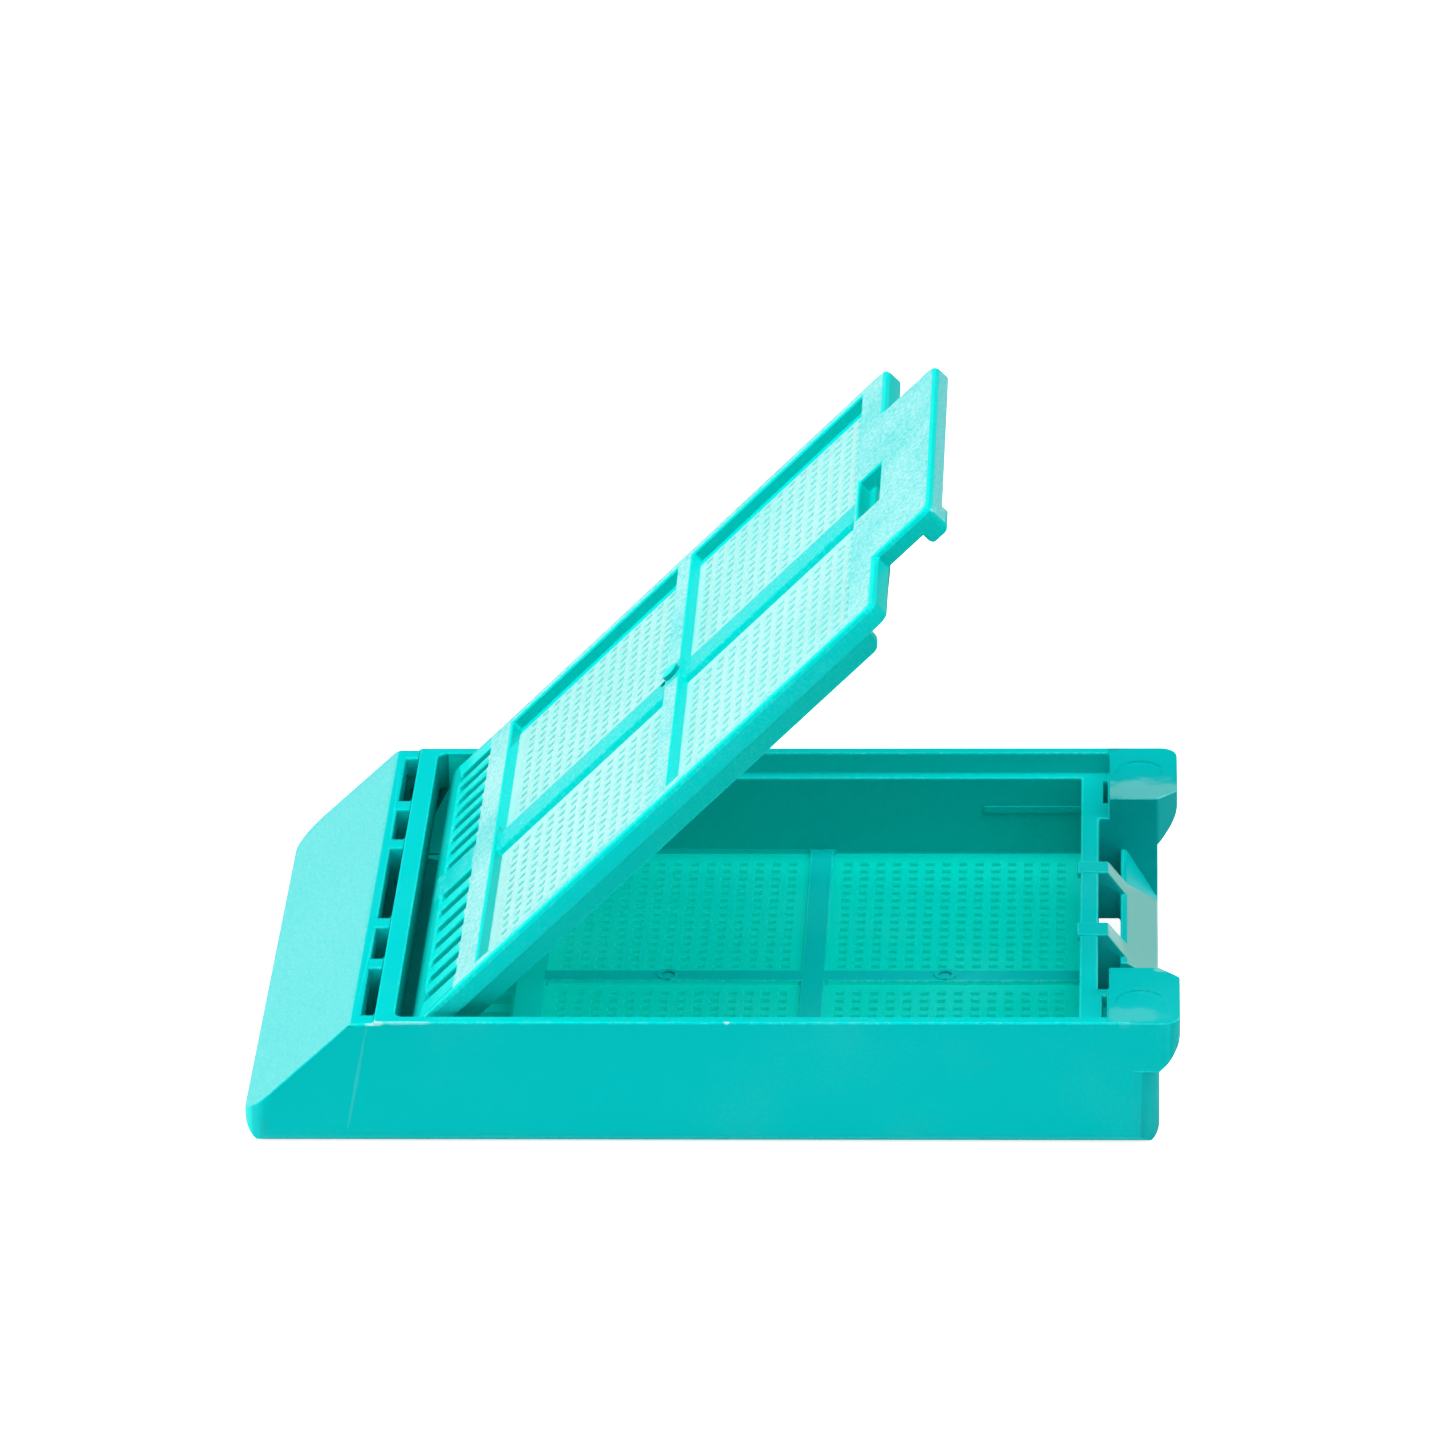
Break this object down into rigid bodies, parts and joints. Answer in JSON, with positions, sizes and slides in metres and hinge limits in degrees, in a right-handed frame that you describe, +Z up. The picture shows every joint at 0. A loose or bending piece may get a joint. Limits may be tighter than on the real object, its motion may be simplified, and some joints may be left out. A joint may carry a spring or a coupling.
{
  "type": "tissue cassette",
  "caption": "Shallow moulded tray with a hinged mesh lid, a sloping label end and a latch recess at the rear, for holding tissue specimens in liquid.",
  "frame": {"origin": "centre of the base's underside, midway between the front face and the tips of the rear ears", "axes": "+X from the sloping label end to the latch end, +Y to the left seen from the label end looking along +X, +Z up"},
  "size_m": [0.041, 0.0286, 0.0278],
  "materials": {
    "base_acetal": "satin turquoise acetal, fine textured on the label face and latch, polished on the side walls",
    "lid_acetal": "satin turquoise acetal, fine textured top, pale mesh"
  },
  "bodies": {
    "base": {"cassette_base": "base_acetal"},
    "lid": {"lid": "lid_acetal"}
  },
  "joints": [
    {"name": "lid_hinge", "type": "hinge", "parent": "base", "child": "lid", "pos_m": [-0.01137, 0, 0.00373], "axis": [0, -1, 0], "range_deg": [-44.8, 45.2]}
  ]
}
